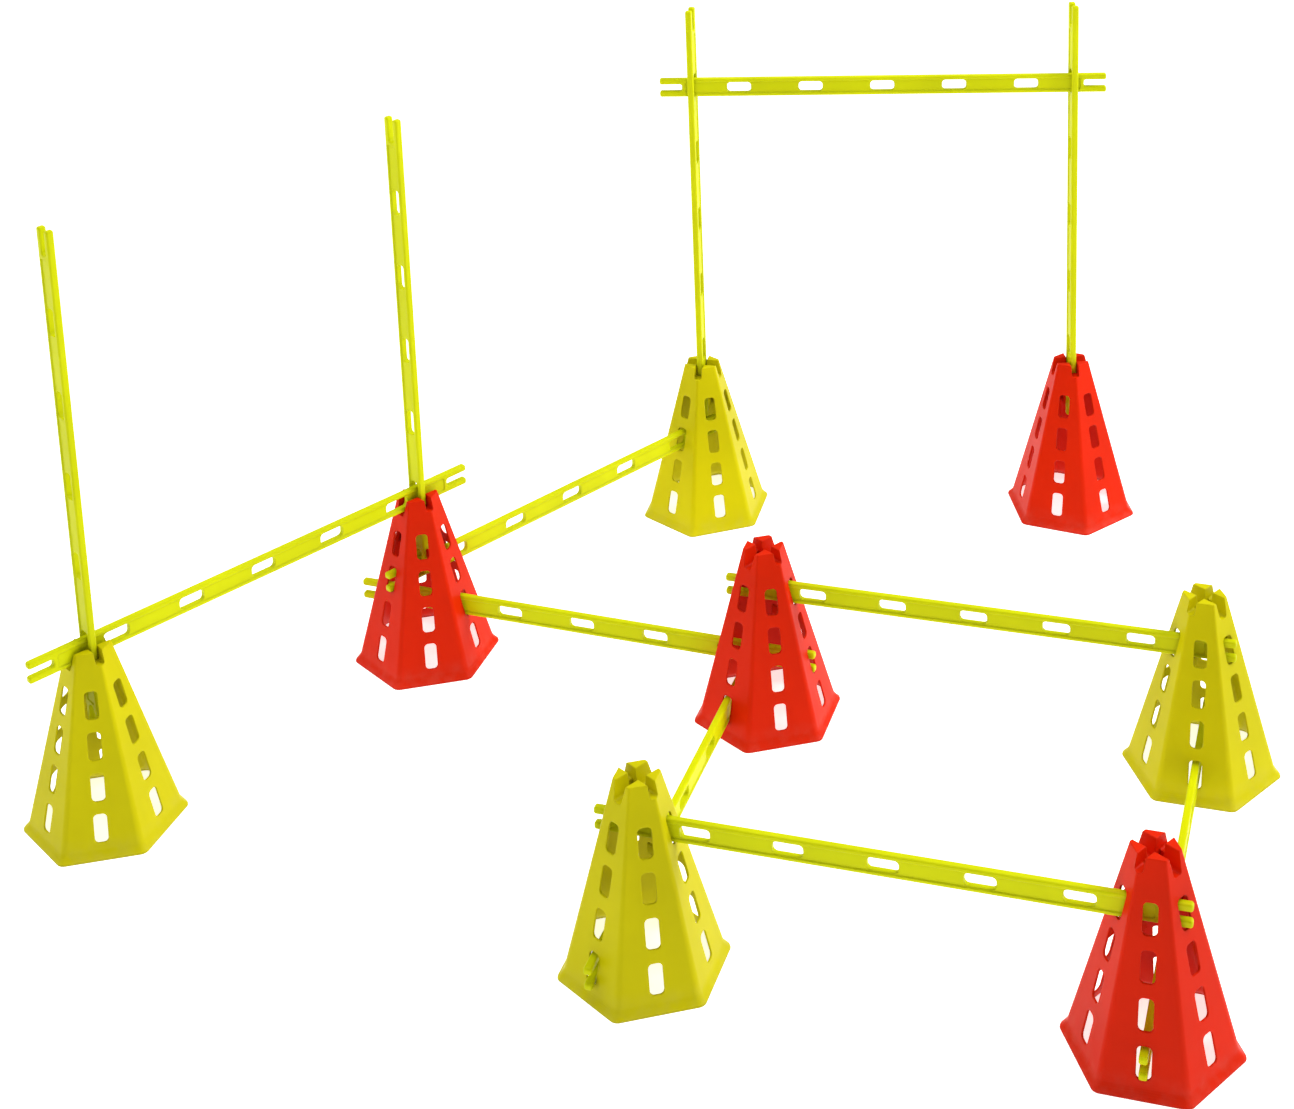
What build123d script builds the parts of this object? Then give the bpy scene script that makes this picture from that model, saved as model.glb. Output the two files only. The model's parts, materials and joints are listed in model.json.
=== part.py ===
"""Modular dog agility hurdle set: eight hollow hexagonal cones joined by twelve identical slotted slats.

The origin is on the ground, in the middle of the set's bounding box. +X runs along the back of
the square, +Y away from the viewer towards the tall gate, +Z up. Lengths are millimetres.
"""

import os
from math import cos, radians, sin

from build123d import *

# Slat, one moulding used twelve times
SLAT_LENGTH = 700.0
SLAT_WIDTH = 30.0
SLAT_THICKNESS = 10.0
SLAT_EDGE_ROUND = 2.6
RECESS_DEPTH = 1.3
RECESS_WIDTH = 20.0
RECESS_CORNER_ROUND = 4.0
SLAT_SLOTS = 5
SLAT_SLOT_LENGTH = 37.5
SLAT_SLOT_WIDTH = 16.5
SLAT_SLOT_ROUND = 5.5
FIRST_SLOT_FROM_END = 125.0
FORK_DEPTH = 35.0
FORK_GAP = 11.0
FORK_ROUND = 3.5
FORK_TO_RECESS = 5.0
PRONG_ROUND = 3.2

# Cone, one moulding used eight times; radii run from the axis to a corner
CONE_HEIGHT = 256.0
TOP_RADIUS = 29.0
BODY_BASE_RADIUS = 101.5
CORNER_ROUND_SHARE = 0.11
WALL = 2.5
SKIRT_HEIGHT = 13.0
SKIRT_FLARE = 5.5
SKIRT_STEPS = 5
RIM_HEIGHT = 2.0

# Slots in the six faces of a cone; row 1 is the highest
ROW_PITCH = 51.2
LOWEST_ROW_Z = 37.5
CONE_SLOT_WIDTH = 17.0
CONE_SLOT_HEIGHT = 35.5
CONE_SLOT_ROUND = 5.5
SLOT_RIM_ROUND = 0.7
SLAT_DROP = 1.0

# Crown: a cross of two open slots, one from corner to corner and one from face to face
CORNER_SLOT_DEPTH = 17.0
CORNER_SLOT_WIDTH = 11.6
FACE_SLOT_DEPTH = 24.0
FACE_SLOT_FLOOR = 13.0
FACE_SLOT_TOP = 19.0
CROWN_FLOOR = 4.0
CROWN_EDGE_ROUND = 1.2
SOCKET_LENGTH = 31.0
SOCKET_WIDTH = 11.0
SOCKET_WALL = 2.5
SOCKET_BOTTOM_Z = 210.0
FIN_THICKNESS = 3.0
FIN_REACH = 15.4
FIN_BOTTOM_Z = 159.0
FIN_TOP_Z = 172.0

# Layout: distances between cone axes, and headings in degrees counter-clockwise from +X
SQUARE_LENGTH = 600.0
SQUARE_WIDTH = 528.0
SIDE_LINK_SPACING = 530.0
SIDE_LINK_HEADING = -2.2
BACK_LINK_SPACING = 574.0
BACK_LINK_HEADING = 61.7
JUMP_SPACING = 528.0
JUMP_HEADING = 61.5
GATE_SPACING = 597.0
GATE_HEADING = 14.2

# Heading of each cone's corner-to-corner crown slot
STRAIGHT_TURN = -30.0
QUARTER_TURN = 60.0
JUMP_INNER_TURN = -30.5
JUMP_OUTER_TURN = -31.0
GATE_INNER_TURN = 94.2
GATE_OUTER_TURN = 113.5

# Heights of the posts' lower ends: the fork of a jump post straddles the back link, and a gate post
# stands just above it
JUMP_POST_BOTTOM_Z = 132.0
GATE_POST_BOTTOM_Z = 154.5

# Gap under each crossbar in its post's slot, and how far some linking slats sit along their own
# length from the middle of their two cones
BAR_CLEARANCE = 0.5
SQUARE_SHIFT = -5.0
SQUARE_SIDE_SHIFT = 2.0
SIDE_LINK_SHIFT = -13.0

FACE_APOTHEM = cos(radians(30))
BODY_SLOPE = (BODY_BASE_RADIUS - TOP_RADIUS) / CONE_HEIGHT
WALL_IN_PLAN = WALL / FACE_APOTHEM
FACE_NOTCH_Z = CONE_HEIGHT - FACE_SLOT_DEPTH
CORNER_NOTCH_Z = CONE_HEIGHT - CORNER_SLOT_DEPTH
CEILING_Z = FACE_NOTCH_Z - CROWN_FLOOR


def body_radius(z):
    """Corner radius of the straight sides, without the skirt, at height z."""
    return BODY_BASE_RADIUS - BODY_SLOPE * z


def row_z(row):
    """Height of the middle of a row of face slots, where row 1 is the highest and row 4 the lowest."""
    return LOWEST_ROW_Z + ROW_PITCH * (4 - row)


def chord_offset(row):
    """Distance from a cone's axis to a slat that runs between two faces 120 degrees apart."""
    return (body_radius(row_z(row)) * FACE_APOTHEM - WALL / 2) / 2


def toward(distance, heading):
    """Plan vector of the given length along a heading."""
    return Vector(distance * cos(radians(heading)), distance * sin(radians(heading)), 0)


# ---------------------------------------------------------------- slat
def slat_outline():
    """Side view of a slat without its slots: a rounded bar with an open fork at each end."""
    outline = Rectangle(SLAT_LENGTH, SLAT_WIDTH)
    fork = RectangleRounded(2 * FORK_DEPTH, FORK_GAP, FORK_ROUND)
    outline -= GridLocations(SLAT_LENGTH, 0, 2, 1) * fork
    prong_tips = outline.vertices().group_by(Axis.X)
    return fillet(prong_tips[0] + prong_tips[-1], PRONG_ROUND)


def slat_slots():
    """Side view of the five slots along the middle of a slat."""
    slot = RectangleRounded(SLAT_SLOT_LENGTH, SLAT_SLOT_WIDTH, SLAT_SLOT_ROUND)
    pitch = (SLAT_LENGTH - 2 * FIRST_SLOT_FROM_END) / (SLAT_SLOTS - 1)
    return Sketch() + GridLocations(pitch, 0, SLAT_SLOTS, 1) * slot


def slat_recess():
    """Cutter for the shallow recess with sloping sides in the +Y face of a slat."""
    length = SLAT_LENGTH - 2 * (FORK_DEPTH + FORK_TO_RECESS)
    block = Box(length, 2 * RECESS_DEPTH, RECESS_WIDTH)
    block = fillet(block.edges().filter_by(Axis.Y), RECESS_CORNER_ROUND)
    block = chamfer(block.faces().sort_by(Axis.Y)[0].edges(), 0.9 * RECESS_DEPTH)
    return Pos(0, SLAT_THICKNESS / 2, 0) * block


def make_slat():
    """A slat on edge, centred on the origin with its length along X and its width along Z."""
    slat = extrude(Plane.XZ * slat_outline(), SLAT_THICKNESS / 2, both=True)
    sides = slat.edges().group_by(Axis.Y)
    slat = fillet(sides[0] + sides[-1], SLAT_EDGE_ROUND)
    near = slat_recess()
    far = mirror(near, Plane.XZ)
    slots = extrude(Plane.XZ * slat_slots(), SLAT_THICKNESS, both=True)
    return slat - near - far - slots


# ---------------------------------------------------------------- cone
def hexagon(radius, z):
    """Horizontal hexagon with rounded corners and one corner on +X."""
    sharp = RegularPolygon(radius, 6)
    return Pos(0, 0, z) * fillet(sharp.vertices(), radius * CORNER_ROUND_SHARE)


def hexagonal_tower(inset, top_z):
    """Solid tower with the cone's sides and skirt, shrunk by inset at its corners, up to top_z."""
    sections = [hexagon(body_radius(0) + SKIRT_FLARE - inset, 0)]
    for step in range(SKIRT_STEPS + 1):
        share = step / SKIRT_STEPS
        z = RIM_HEIGHT + (SKIRT_HEIGHT - RIM_HEIGHT) * share
        flare = SKIRT_FLARE * (1 - share) ** 2
        sections.append(hexagon(body_radius(z) + flare - inset, z))
    sections.append(hexagon(body_radius(top_z) - inset, top_z))
    return loft(sections, ruled=True)


def face_slots():
    """Cutters for the four rows of slots, each one running through two opposite faces."""
    hole = RectangleRounded(CONE_SLOT_WIDTH, CONE_SLOT_HEIGHT, CONE_SLOT_ROUND)
    tunnel = extrude(Plane.YZ * hole, BODY_BASE_RADIUS, both=True)
    cutters = []
    for row in (1, 2, 3, 4):
        for heading in (30, 90, 150):
            cutters.append(Pos(0, 0, row_z(row)) * Rot(0, 0, heading) * tunnel)
    return cutters


def along_corners(depth, width):
    """Cutter for the crown slot from corner to corner, with a rounded floor."""
    profile = Rectangle(width, depth, align=(Align.CENTER, Align.MIN))
    profile = fillet(profile.vertices().group_by(Axis.Y)[0], width / 4)
    return extrude(Plane.YZ * profile, BODY_BASE_RADIUS, both=True)


def along_faces():
    """Cutter for the crown slot from face to face, wider at its top."""
    flank = [
        (-FACE_SLOT_FLOOR / 2, 0),
        (FACE_SLOT_FLOOR / 2, 0),
        (FACE_SLOT_TOP / 2, FACE_SLOT_DEPTH),
        (-FACE_SLOT_TOP / 2, FACE_SLOT_DEPTH),
    ]
    profile = make_face(Polyline(flank, close=True))
    profile = fillet(profile.vertices().group_by(Axis.Y)[0], FACE_SLOT_FLOOR / 3)
    return extrude(Plane.XZ * profile, BODY_BASE_RADIUS, both=True)


def crown_cutters():
    """Cutters for the two crossing crown slots and the opening that a post's foot passes down."""
    corner_slot = Pos(0, 0, CORNER_NOTCH_Z) * along_corners(CORNER_SLOT_DEPTH, CORNER_SLOT_WIDTH)
    face_slot = Pos(0, 0, FACE_NOTCH_Z) * along_faces()
    socket = Pos(0, 0, SOCKET_BOTTOM_Z - 1) * Box(
        SOCKET_LENGTH,
        SOCKET_WIDTH,
        CONE_HEIGHT - SOCKET_BOTTOM_Z,
        align=(Align.CENTER, Align.CENTER, Align.MIN),
    )
    return [corner_slot, face_slot, socket]


def inner_ribs():
    """Sleeve under the crown and the two lower fins that keep a post upright."""
    sleeve = Pos(0, 0, SOCKET_BOTTOM_Z) * Box(
        SOCKET_LENGTH + 2 * SOCKET_WALL,
        SOCKET_WIDTH + 2 * SOCKET_WALL,
        CEILING_Z - SOCKET_BOTTOM_Z,
        align=(Align.CENTER, Align.CENTER, Align.MIN),
    )
    fin = Box(
        body_radius(FIN_BOTTOM_Z) - FIN_REACH,
        FIN_THICKNESS,
        FIN_TOP_Z - FIN_BOTTOM_Z,
        align=(Align.MIN, Align.CENTER, Align.MIN),
    )
    right_fin = Pos(FIN_REACH, 0, FIN_BOTTOM_Z) * fin
    left_fin = mirror(right_fin, Plane.YZ)
    return sleeve + right_fin + left_fin


def slot_rims(shell):
    """Outer edges of the face slots of a cone."""
    rims = []
    for face in shell.faces():
        middle = face.center()
        if face.inner_wires() and face.normal_at(middle).dot(Vector(middle.X, middle.Y, 0)) > 0:
            rims += face.inner_wires().edges()
    return rims


def make_cone():
    """A cone standing on the origin, with its corner-to-corner crown slot along X."""
    outer = hexagonal_tower(0, CONE_HEIGHT)
    hollow = hexagonal_tower(WALL_IN_PLAN, CEILING_Z)
    cone = outer - hollow
    for cutter in face_slots():
        cone -= cutter
    cone = fillet(slot_rims(cone), SLOT_RIM_ROUND)
    cone += inner_ribs() & outer
    for cutter in crown_cutters():
        cone -= cutter
    return fillet(cone.edges().group_by(Axis.Z)[-1], CROWN_EDGE_ROUND)


# ---------------------------------------------------------------- layout
def cone_places():
    """Plan position of every cone, worked outwards from the one at the origin."""
    back_left = Vector(0, 0, 0)
    back_right = Vector(SQUARE_LENGTH, chord_offset(1), 0)
    down = Vector(0, -SQUARE_WIDTH, 0)
    jump_inner = back_left - toward(SIDE_LINK_SPACING, SIDE_LINK_HEADING)
    gate_inner = jump_inner + toward(BACK_LINK_SPACING, BACK_LINK_HEADING)
    return {
        "square_back_left": back_left,
        "square_back_right": back_right,
        "square_front_left": back_left + down,
        "square_front_right": back_right + down,
        "jump_inner": jump_inner,
        "jump_outer": jump_inner - toward(JUMP_SPACING, JUMP_HEADING),
        "gate_inner": gate_inner,
        "gate_outer": gate_inner + toward(GATE_SPACING, GATE_HEADING),
    }


CONE_TURNS = {
    "square_back_left": STRAIGHT_TURN,
    "square_back_right": QUARTER_TURN,
    "square_front_left": STRAIGHT_TURN,
    "square_front_right": QUARTER_TURN,
    "jump_inner": JUMP_INNER_TURN,
    "jump_outer": JUMP_OUTER_TURN,
    "gate_inner": GATE_INNER_TURN,
    "gate_outer": GATE_OUTER_TURN,
}


def lay_slat(slat, first, second, z, shift=0.0, aside=0.0):
    """Slat on edge between two plan points, moved along its heading and to its left."""
    line = second - first
    heading = Vector(1, 0, 0).get_signed_angle(line, Vector(0, 0, 1))
    centre = (first + second) / 2 + toward(shift, heading) + toward(aside, heading + 90)
    return Pos(centre.X, centre.Y, z) * Rot(0, 0, heading) * slat


def stand_slat(slat, place, turn, bottom_z):
    """Slat on end in a crown, with its width along the crown's corner-to-corner slot."""
    middle = bottom_z + SLAT_LENGTH / 2
    return Pos(place.X, place.Y, middle) * Rot(0, 0, turn) * Rot(0, -90, 0) * slat


def make_posts(slat, places):
    """The four uprights."""
    bottoms = {
        "jump_outer": JUMP_POST_BOTTOM_Z,
        "jump_inner": JUMP_POST_BOTTOM_Z,
        "gate_inner": GATE_POST_BOTTOM_Z,
        "gate_outer": GATE_POST_BOTTOM_Z,
    }
    return {
        f"post_{name}": stand_slat(slat, places[name], CONE_TURNS[name], bottom)
        for name, bottom in bottoms.items()
    }


def make_bars(slat, places):
    """The two crossbars and the six slats that link the cones."""
    lift = SLAT_WIDTH / 2 - SLAT_SLOT_LENGTH / 2 + BAR_CLEARANCE
    jump_z = JUMP_POST_BOTTOM_Z + FIRST_SLOT_FROM_END + lift
    gate_z = GATE_POST_BOTTOM_Z + SLAT_LENGTH - FIRST_SLOT_FROM_END + lift
    row = {number: row_z(number) - SLAT_DROP for number in (1, 2, 3, 4)}
    jump_inner = places["jump_inner"]
    gate_inner = places["gate_inner"]
    back_left = places["square_back_left"]
    front_left = places["square_front_left"]
    back_right = places["square_back_right"]
    front_right = places["square_front_right"]
    along = Vector(SQUARE_LENGTH, 0, 0)
    return {
        "bar_jump": lay_slat(slat, places["jump_outer"], jump_inner, jump_z),
        "bar_gate": lay_slat(slat, gate_inner, places["gate_outer"], gate_z),
        "bar_link_back": lay_slat(slat, jump_inner, gate_inner, row[2]),
        "bar_link_side": lay_slat(slat, jump_inner, back_left, row[3], SIDE_LINK_SHIFT),
        "bar_square_back": lay_slat(slat, back_left, back_left + along, row[1], SQUARE_SHIFT),
        "bar_square_front": lay_slat(slat, front_left, front_left + along, row[1], SQUARE_SHIFT),
        "bar_square_left": lay_slat(
            slat, back_left, front_left, row[4], SQUARE_SIDE_SHIFT, -chord_offset(4)
        ),
        "bar_square_right": lay_slat(slat, back_right, front_right, row[4], SQUARE_SIDE_SHIFT),
    }


def footprint_middle(shapes):
    """Middle of the bounding rectangle of all the shapes in plan."""
    boxes = [shape.bounding_box() for shape in shapes]
    middle_x = (min(box.min.X for box in boxes) + max(box.max.X for box in boxes)) / 2
    middle_y = (min(box.min.Y for box in boxes) + max(box.max.Y for box in boxes)) / 2
    return Vector(middle_x, middle_y, 0)


def main():
    os.makedirs("parts", exist_ok=True)
    places = cone_places()
    cone = make_cone()
    slat = make_slat()
    parts = {}
    for name, place in places.items():
        parts[f"cone_{name}"] = Pos(place.X, place.Y, 0) * Rot(0, 0, CONE_TURNS[name]) * cone
    parts.update(make_posts(slat, places))
    parts.update(make_bars(slat, places))
    to_origin = -footprint_middle(parts.values())
    for node, shape in parts.items():
        export_step(Pos(to_origin) * shape, f"parts/{node}.step", write_pcurves=False)


main()
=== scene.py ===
"""Looks of the modular dog agility hurdle set: moulded plastic, a pale floor and soft studio light."""

import json
from math import radians

import bpy
from mathutils import Matrix, Vector


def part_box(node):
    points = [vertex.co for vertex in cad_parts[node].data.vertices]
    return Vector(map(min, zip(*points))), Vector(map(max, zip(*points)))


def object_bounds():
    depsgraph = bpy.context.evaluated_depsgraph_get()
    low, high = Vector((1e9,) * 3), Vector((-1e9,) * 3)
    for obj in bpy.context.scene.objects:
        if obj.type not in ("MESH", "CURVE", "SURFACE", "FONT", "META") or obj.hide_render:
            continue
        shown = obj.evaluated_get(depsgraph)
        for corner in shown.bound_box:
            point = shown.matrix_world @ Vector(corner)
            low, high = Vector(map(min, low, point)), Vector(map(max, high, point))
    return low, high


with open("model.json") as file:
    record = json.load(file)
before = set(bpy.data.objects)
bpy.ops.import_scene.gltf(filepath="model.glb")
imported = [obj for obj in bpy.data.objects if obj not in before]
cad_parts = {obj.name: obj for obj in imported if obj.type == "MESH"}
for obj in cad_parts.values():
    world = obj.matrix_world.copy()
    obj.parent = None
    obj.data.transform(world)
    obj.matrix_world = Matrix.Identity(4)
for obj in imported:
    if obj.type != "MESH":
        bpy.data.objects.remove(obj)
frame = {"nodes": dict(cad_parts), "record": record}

# Colours are linear red, green, blue
SLAT_YELLOW = (0.720, 0.760, 0.002)
CONE_YELLOW = (0.700, 0.640, 0.001)
CONE_RED = (0.800, 0.022, 0.001)
DUST = (0.52, 0.47, 0.38)
FLOOR_WHITE = (0.93, 0.93, 0.93)
DAYLIGHT = (1.0, 1.0, 1.0)
WARM_LIGHT = (1.0, 0.99, 0.96)
SURROUNDINGS = (1.0, 0.99, 0.97)

# Camera: place in metres from the foot of the cone at the back left of the square, turns in
# degrees, offsets of the picture as shares of its width
CAMERA_FROM_CONE = (0.8462, -2.7516, 1.9149)
CAMERA_HEADING = 16.48
CAMERA_PITCH = 13.77
CAMERA_ROLL = -1.43
CAMERA_LENS_MM = 64.28
CAMERA_SHIFT = (-0.0942, -0.5257)
SENSOR_WIDTH_MM = 36.0
FAR_CLIP = 200.0

# Distance from its first place within which the camera keeps a picture offset
HOME_REACH = 0.05

# Share of the light that passes through the thin plastic walls
WALL_GLOW = 0.20

# Gloss and depth of the plastic
PLASTIC_GLOSS = 0.07
SUBSURFACE_SHARE = 0.12
SUBSURFACE_RADIUS = (0.004, 0.004, 0.002)

# Rounded edges, paled partly as wear and partly as a painted highlight: how far from an edge, in metres
EDGE_REACH = 0.0012

# Painted shade that darkens recesses and corners: how near their sides are, and how dark it is at most
CAVITY_REACH = 0.007
CAVITY_SHADE = 0.55

# Dust on the lowest part of the cones: up to what height, and its share of the colour
DUST_HEIGHT = 0.03
DUST_SHARE = 0.07

# Height of the plastic's relief, in metres
RELIEF_HEIGHT = 0.0006

# Light given off by the floor, as by a lit studio table, and the strength of the surroundings
FLOOR_GLOW = 0.76
SURROUNDINGS_STRENGTH = 0.30

FLOOR_SIDE = 60.0


# ---------------------------------------------------------------- node helpers
class Shader:
    """A material under construction, with short ways to add and join its nodes."""

    def __init__(self, name):
        self.material = bpy.data.materials.new(name)
        self.material.use_nodes = True
        self.tree = self.material.node_tree
        self.surface = self.tree.nodes["Principled BSDF"]

    def add(self, kind, inputs=None, **settings):
        node = self.tree.nodes.new(kind)
        for key, value in settings.items():
            setattr(node, key, value)
        for key, value in (inputs or {}).items():
            self.put(node, key, value)
        return node

    def put(self, node, key, value):
        """Sets an input to a plain value, or joins it to another node's output."""
        if isinstance(value, bpy.types.NodeSocket):
            self.tree.links.new(value, node.inputs[key])
        else:
            node.inputs[key].default_value = value

    def place(self):
        """Position on the piece, which moves with it."""
        return self.add("ShaderNodeTexCoord").outputs["Object"]

    def noise(self, scale, detail=3.0, roughness=0.5, stretch=(1.0, 1.0, 1.0)):
        """Grey noise in object space, stretched along the axes."""
        mapped = self.add("ShaderNodeMapping", {"Vector": self.place(), "Scale": stretch})
        texture = self.add(
            "ShaderNodeTexNoise",
            {"Vector": mapped.outputs["Vector"], "Scale": scale, "Detail": detail, "Roughness": roughness},
        )
        return texture.outputs["Fac"]

    def remap(self, value, low, high, to_low, to_high):
        node = self.add(
            "ShaderNodeMapRange",
            {"Value": value, "From Min": low, "From Max": high, "To Min": to_low, "To Max": to_high},
        )
        return node.outputs["Result"]

    def math(self, operation, first, second):
        return self.add("ShaderNodeMath", {0: first, 1: second}, operation=operation).outputs[0]

    def mix(self, share, first, second):
        """Colour between first and second."""
        node = self.add("ShaderNodeMix", data_type="RGBA")
        factor_input, first_input, second_input, colour_output = 0, 6, 7, 2
        self.put(node, factor_input, share)
        self.put(node, first_input, first)
        self.put(node, second_input, second)
        return node.outputs[colour_output]

    def let_light_through(self, colour, share):
        """Mixes light arriving on the far side of a thin wall into the surface."""
        glow = self.add("ShaderNodeBsdfTranslucent", {"Color": colour})
        mix = self.add(
            "ShaderNodeMixShader",
            {0: share, 1: self.surface.outputs["BSDF"], 2: glow.outputs["BSDF"]},
        )
        self.put(self.tree.nodes["Material Output"], "Surface", mix.outputs["Shader"])


def shade(colour, factor):
    """Colour made lighter or darker, with full alpha."""
    return tuple(channel * factor for channel in colour) + (1.0,)


def paled(colour):
    """Paler colour of the plastic, for scuffs and for edges that are partly worn and partly a painted
    highlight.
    """
    return tuple(0.85 * channel + 0.09 for channel in colour) + (1.0,)


# ---------------------------------------------------------------- plastic
def moulding_marks(s, colour):
    """Faint clouds and upright flow lines left by the moulding."""
    clouds = s.noise(7.0, detail=4.0)
    cloudy = s.mix(s.remap(clouds, 0.35, 0.65, 0.0, 1.0), shade(colour, 0.94), shade(colour, 1.05))
    flow = s.noise(26.0, detail=2.0, stretch=(1.0, 1.0, 0.25))
    return s.mix(s.remap(flow, 0.45, 0.75, 0.0, 0.16), cloudy, shade(colour, 0.86))


def worn_and_highlit_edges(s, rounded_normal, strength):
    """Share by which the edges are paled, partly as wear and partly as a painted highlight, uneven along
    their length.
    """
    flat = s.add("ShaderNodeNewGeometry").outputs["Normal"]
    turned = s.add("ShaderNodeVectorMath", {0: rounded_normal, 1: flat}, operation="DOT_PRODUCT")
    edge = s.remap(turned.outputs["Value"], 0.80, 0.995, 1.0, 0.0)
    uneven = s.remap(s.noise(45.0, detail=4.0), 0.35, 0.65, 0.35, 1.0)
    return s.math("MULTIPLY", s.math("MULTIPLY", edge, uneven), strength)


def painted_cavity_shade(s):
    """Share of painted shade in recesses and corners, found by ambient occlusion."""
    openness = s.add("ShaderNodeAmbientOcclusion", {"Distance": CAVITY_REACH}, samples=4)
    return s.remap(openness.outputs["AO"], 0.45, 0.95, CAVITY_SHADE, 0.0)


def dust_at_feet(s):
    """Share of dust, patchy and fading out above the floor."""
    height = s.add("ShaderNodeSeparateXYZ", {"Vector": s.place()}).outputs["Z"]
    low = s.remap(height, 0.0, DUST_HEIGHT, DUST_SHARE, 0.0)
    return s.math("MULTIPLY", low, s.remap(s.noise(60.0, detail=5.0), 0.40, 0.65, 0.2, 1.0))


def surface_relief(s, rounded_normal):
    """Normal with a fine grain and a slow ripple."""
    grain = s.noise(900.0, detail=2.0)
    ripple = s.noise(35.0, detail=1.0)
    relief = s.math("ADD", s.math("MULTIPLY", grain, 0.10), s.math("MULTIPLY", ripple, 0.90))
    bump = s.add(
        "ShaderNodeBump",
        {"Strength": 0.18, "Distance": RELIEF_HEIGHT, "Height": relief, "Normal": rounded_normal},
    )
    return bump.outputs["Normal"]


def moulded_plastic(name, colour, roughness, edge_light):
    """Satin injection-moulded plastic, slightly worn, with painted shade in its recesses and painted
    highlights on its edges.
    """
    s = Shader(name)
    rounded_normal = s.add("ShaderNodeBevel", {"Radius": EDGE_REACH}, samples=4).outputs["Normal"]
    scuff_noise = s.noise(160.0, detail=6.0, roughness=0.75, stretch=(1.0, 0.25, 1.0))
    scuffs = s.remap(scuff_noise, 0.60, 0.78, 0.0, 1.0)

    marked = moulding_marks(s, colour)
    scuffed = s.mix(s.math("MULTIPLY", scuffs, 0.10), marked, paled(colour))
    # Edges paled partly as wear and partly as a painted highlight
    worn_and_highlit = s.mix(worn_and_highlit_edges(s, rounded_normal, edge_light), scuffed, paled(colour))
    # Painted shade: the colour is darkened in recesses and corners
    cavity_shaded = s.mix(painted_cavity_shade(s), worn_and_highlit, shade(colour, 0.42))
    dusty = s.mix(dust_at_feet(s), cavity_shaded, shade(DUST, 1.0))
    s.put(s.surface, "Base Color", dusty)

    satin = s.remap(s.noise(12.0, detail=5.0), 0.3, 0.7, roughness - 0.05, roughness + 0.07)
    s.put(s.surface, "Roughness", s.math("ADD", satin, s.math("MULTIPLY", scuffs, 0.12)))
    s.put(s.surface, "Specular IOR Level", PLASTIC_GLOSS)
    s.put(s.surface, "Subsurface Weight", SUBSURFACE_SHARE)
    s.put(s.surface, "Subsurface Radius", SUBSURFACE_RADIUS)
    s.put(s.surface, "Subsurface Scale", 1.0)
    s.put(s.surface, "Normal", surface_relief(s, rounded_normal))
    s.let_light_through(dusty, WALL_GLOW)
    return s.material


def dress_nodes():
    """Gives every CAD node the plastic of its material slot."""
    plastics = {
        "slat_yellow": moulded_plastic("slat_yellow_plastic", SLAT_YELLOW, 0.36, 0.30),
        "cone_yellow": moulded_plastic("cone_yellow_plastic", CONE_YELLOW, 0.40, 0.35),
        "cone_red": moulded_plastic("cone_red_plastic", CONE_RED, 0.38, 0.22),
    }
    for part in frame["record"]["subparts"]:
        node = frame["nodes"][part["node"]]
        node.data.materials.clear()
        node.data.materials.append(plastics[part["material_slot"]])


# ---------------------------------------------------------------- studio
def floor_material():
    """Pale lit studio floor with a barely visible unevenness."""
    s = Shader("studio_floor")
    clouds = s.remap(s.noise(0.8, detail=3.0), 0.3, 0.7, 0.0, 1.0)
    pale = s.mix(clouds, shade(FLOOR_WHITE, 0.985), shade(FLOOR_WHITE, 1.0))
    s.put(s.surface, "Base Color", pale)
    s.put(s.surface, "Emission Color", pale)
    s.put(s.surface, "Emission Strength", FLOOR_GLOW)
    s.put(s.surface, "Roughness", 0.7)
    s.put(s.surface, "Specular IOR Level", 0.2)
    return s.material


def add_floor(low_z):
    """Square floor at the foot of the set."""
    half = FLOOR_SIDE / 2
    mesh = bpy.data.meshes.new("floor")
    corners = [(-half, -half, low_z), (half, -half, low_z), (half, half, low_z), (-half, half, low_z)]
    mesh.from_pydata(corners, [], [(0, 1, 2, 3)])
    mesh.materials.append(floor_material())
    floor = bpy.data.objects.new("floor", mesh)
    bpy.context.scene.collection.objects.link(floor)


def add_light(name, place, target, side, power, colour):
    """Soft square light at place, facing target."""
    data = bpy.data.lights.new(name, "AREA")
    data.shape = "SQUARE"
    data.size = side
    data.energy = power
    data.color = colour
    light = bpy.data.objects.new(name, data)
    light.location = place
    light.rotation_euler = (target - place).to_track_quat("-Z", "Y").to_euler()
    bpy.context.scene.collection.objects.link(light)


def add_lights(middle):
    """A warm key light on the viewer's right, a fill on the left and a broad light overhead."""
    turn = Matrix.Rotation(radians(CAMERA_HEADING), 3, "Z")
    right = turn @ Vector((1, 0, 0))
    away = turn @ Vector((0, 1, 0))
    up = Vector((0, 0, 1))
    add_light("key", middle + right * 3.4 + away * 0.4 + up * 2.6, middle, 2.6, 160.0, WARM_LIGHT)
    add_light("fill", middle - right * 3.4 + away * 0.6 + up * 2.2, middle, 2.6, 58.0, DAYLIGHT)
    add_light("top", middle + away * 0.8 + up * 4.5, middle, 4.0, 120.0, DAYLIGHT)


def background(tree, colour, strength):
    node = tree.nodes.new("ShaderNodeBackground")
    node.inputs["Color"].default_value = colour + (1.0,)
    node.inputs["Strength"].default_value = strength
    return node


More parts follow.
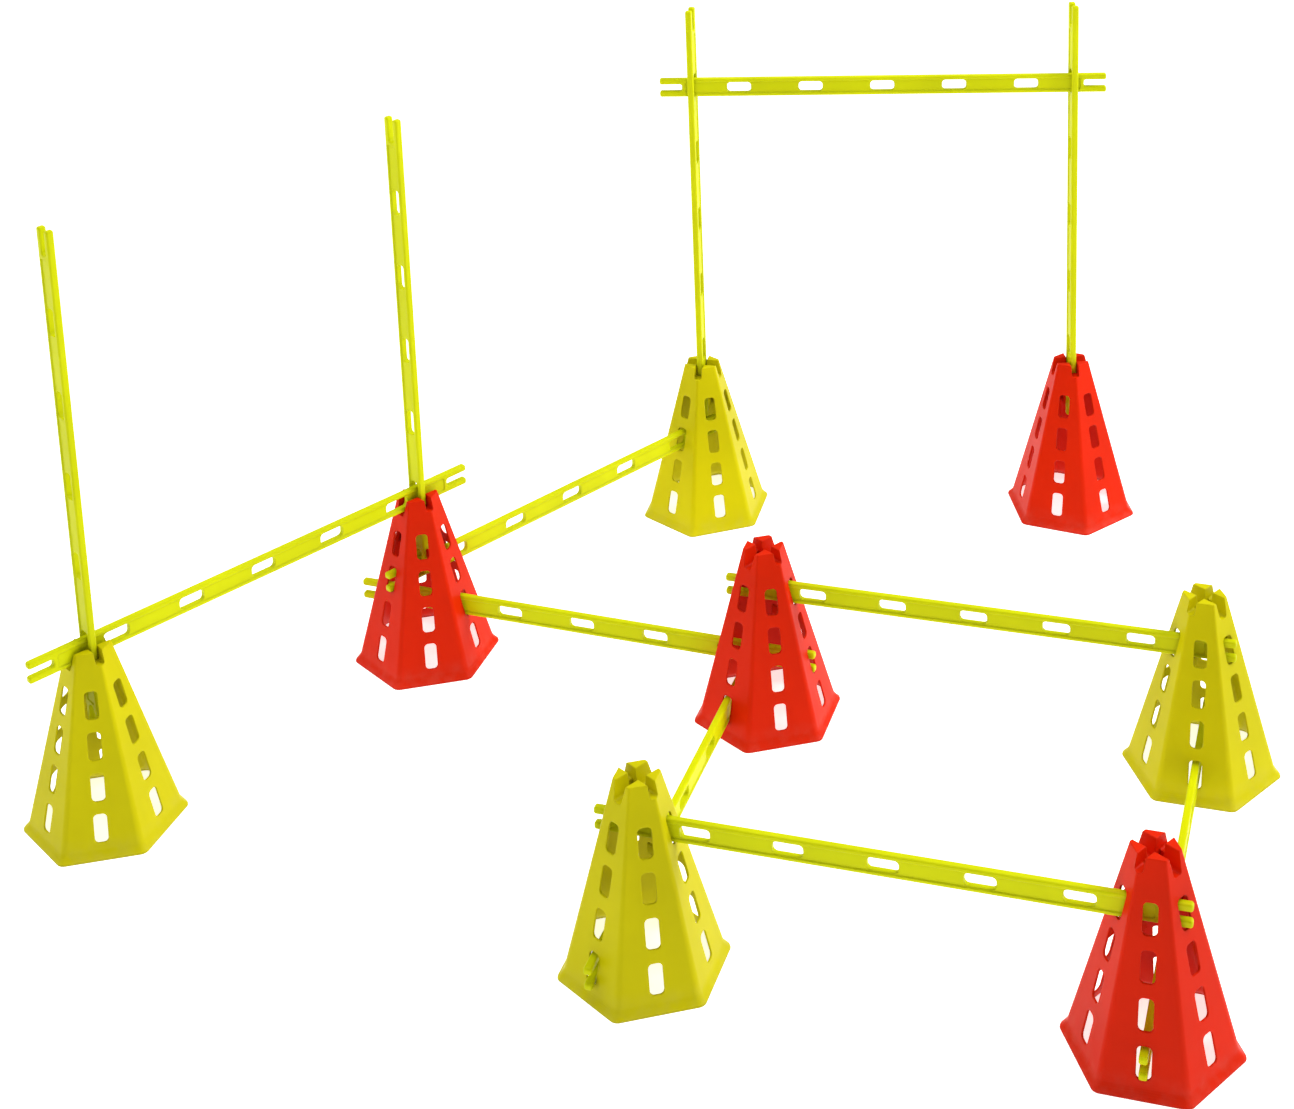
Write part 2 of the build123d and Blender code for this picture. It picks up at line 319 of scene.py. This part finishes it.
def add_world():
    """Even pale surroundings: plain white to the camera, softer as light."""
    world = bpy.data.worlds.new("studio")
    world.use_nodes = True
    tree = world.node_tree
    tree.nodes.clear()
    seen = background(tree, DAYLIGHT, 1.0)
    lit = background(tree, SURROUNDINGS, SURROUNDINGS_STRENGTH)
    path = tree.nodes.new("ShaderNodeLightPath")
    mix = tree.nodes.new("ShaderNodeMixShader")
    out = tree.nodes.new("ShaderNodeOutputWorld")
    tree.links.new(path.outputs["Is Camera Ray"], mix.inputs["Fac"])
    tree.links.new(lit.outputs["Background"], mix.inputs[1])
    tree.links.new(seen.outputs["Background"], mix.inputs[2])
    tree.links.new(mix.outputs["Shader"], out.inputs["Surface"])
    bpy.context.scene.world = world


def shift_only_at(home, camera):
    """Keeps the picture's offset while the camera stands at home, and drops it once it is moved away."""
    for path, offset in zip(("shift_x", "shift_y"), CAMERA_SHIFT):
        curve = camera.data.driver_add(path)
        for modifier in list(curve.modifiers):
            curve.modifiers.remove(modifier)
        curve.keyframe_points.clear()
        curve.keyframe_points.insert(0.0, offset).interpolation = "LINEAR"
        curve.keyframe_points.insert(HOME_REACH, 0.0).interpolation = "LINEAR"
        curve.extrapolation = "CONSTANT"
        curve.driver.type = "SUM"
        distance = curve.driver.variables.new()
        distance.type = "LOC_DIFF"
        distance.targets[0].id = camera
        distance.targets[1].id = home


def add_camera():
    """Camera at the photograph's viewing angle, with a marker of its first place."""
    low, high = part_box("cone_square_back_left")
    foot = Vector(((low[0] + high[0]) / 2, (low[1] + high[1]) / 2, low[2]))
    place = foot + Vector(CAMERA_FROM_CONE)
    turn = Matrix.Rotation(radians(CAMERA_HEADING), 4, "Z")
    tilt = Matrix.Rotation(radians(90 - CAMERA_PITCH), 4, "X")
    roll = Matrix.Rotation(radians(CAMERA_ROLL), 4, "Z")
    data = bpy.data.cameras.new("camera")
    data.sensor_width = SENSOR_WIDTH_MM
    data.lens = CAMERA_LENS_MM
    data.clip_end = FAR_CLIP
    camera = bpy.data.objects.new("camera", data)
    camera.matrix_world = Matrix.Translation(place) @ turn @ tilt @ roll
    home = bpy.data.objects.new("camera_home", None)
    home.location = place
    bpy.context.scene.collection.objects.link(camera)
    bpy.context.scene.collection.objects.link(home)
    shift_only_at(home, camera)
    bpy.context.scene.camera = camera


def build_studio(box):
    """Floor, lights, surroundings and camera around the set."""
    low, high = Vector(box[0]), Vector(box[1])
    add_floor(low.z)
    add_lights((low + high) / 2)
    add_world()
    add_camera()
    bpy.context.scene.view_settings.view_transform = "Standard"


cad_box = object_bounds()
dress_nodes()
build_studio(cad_box)
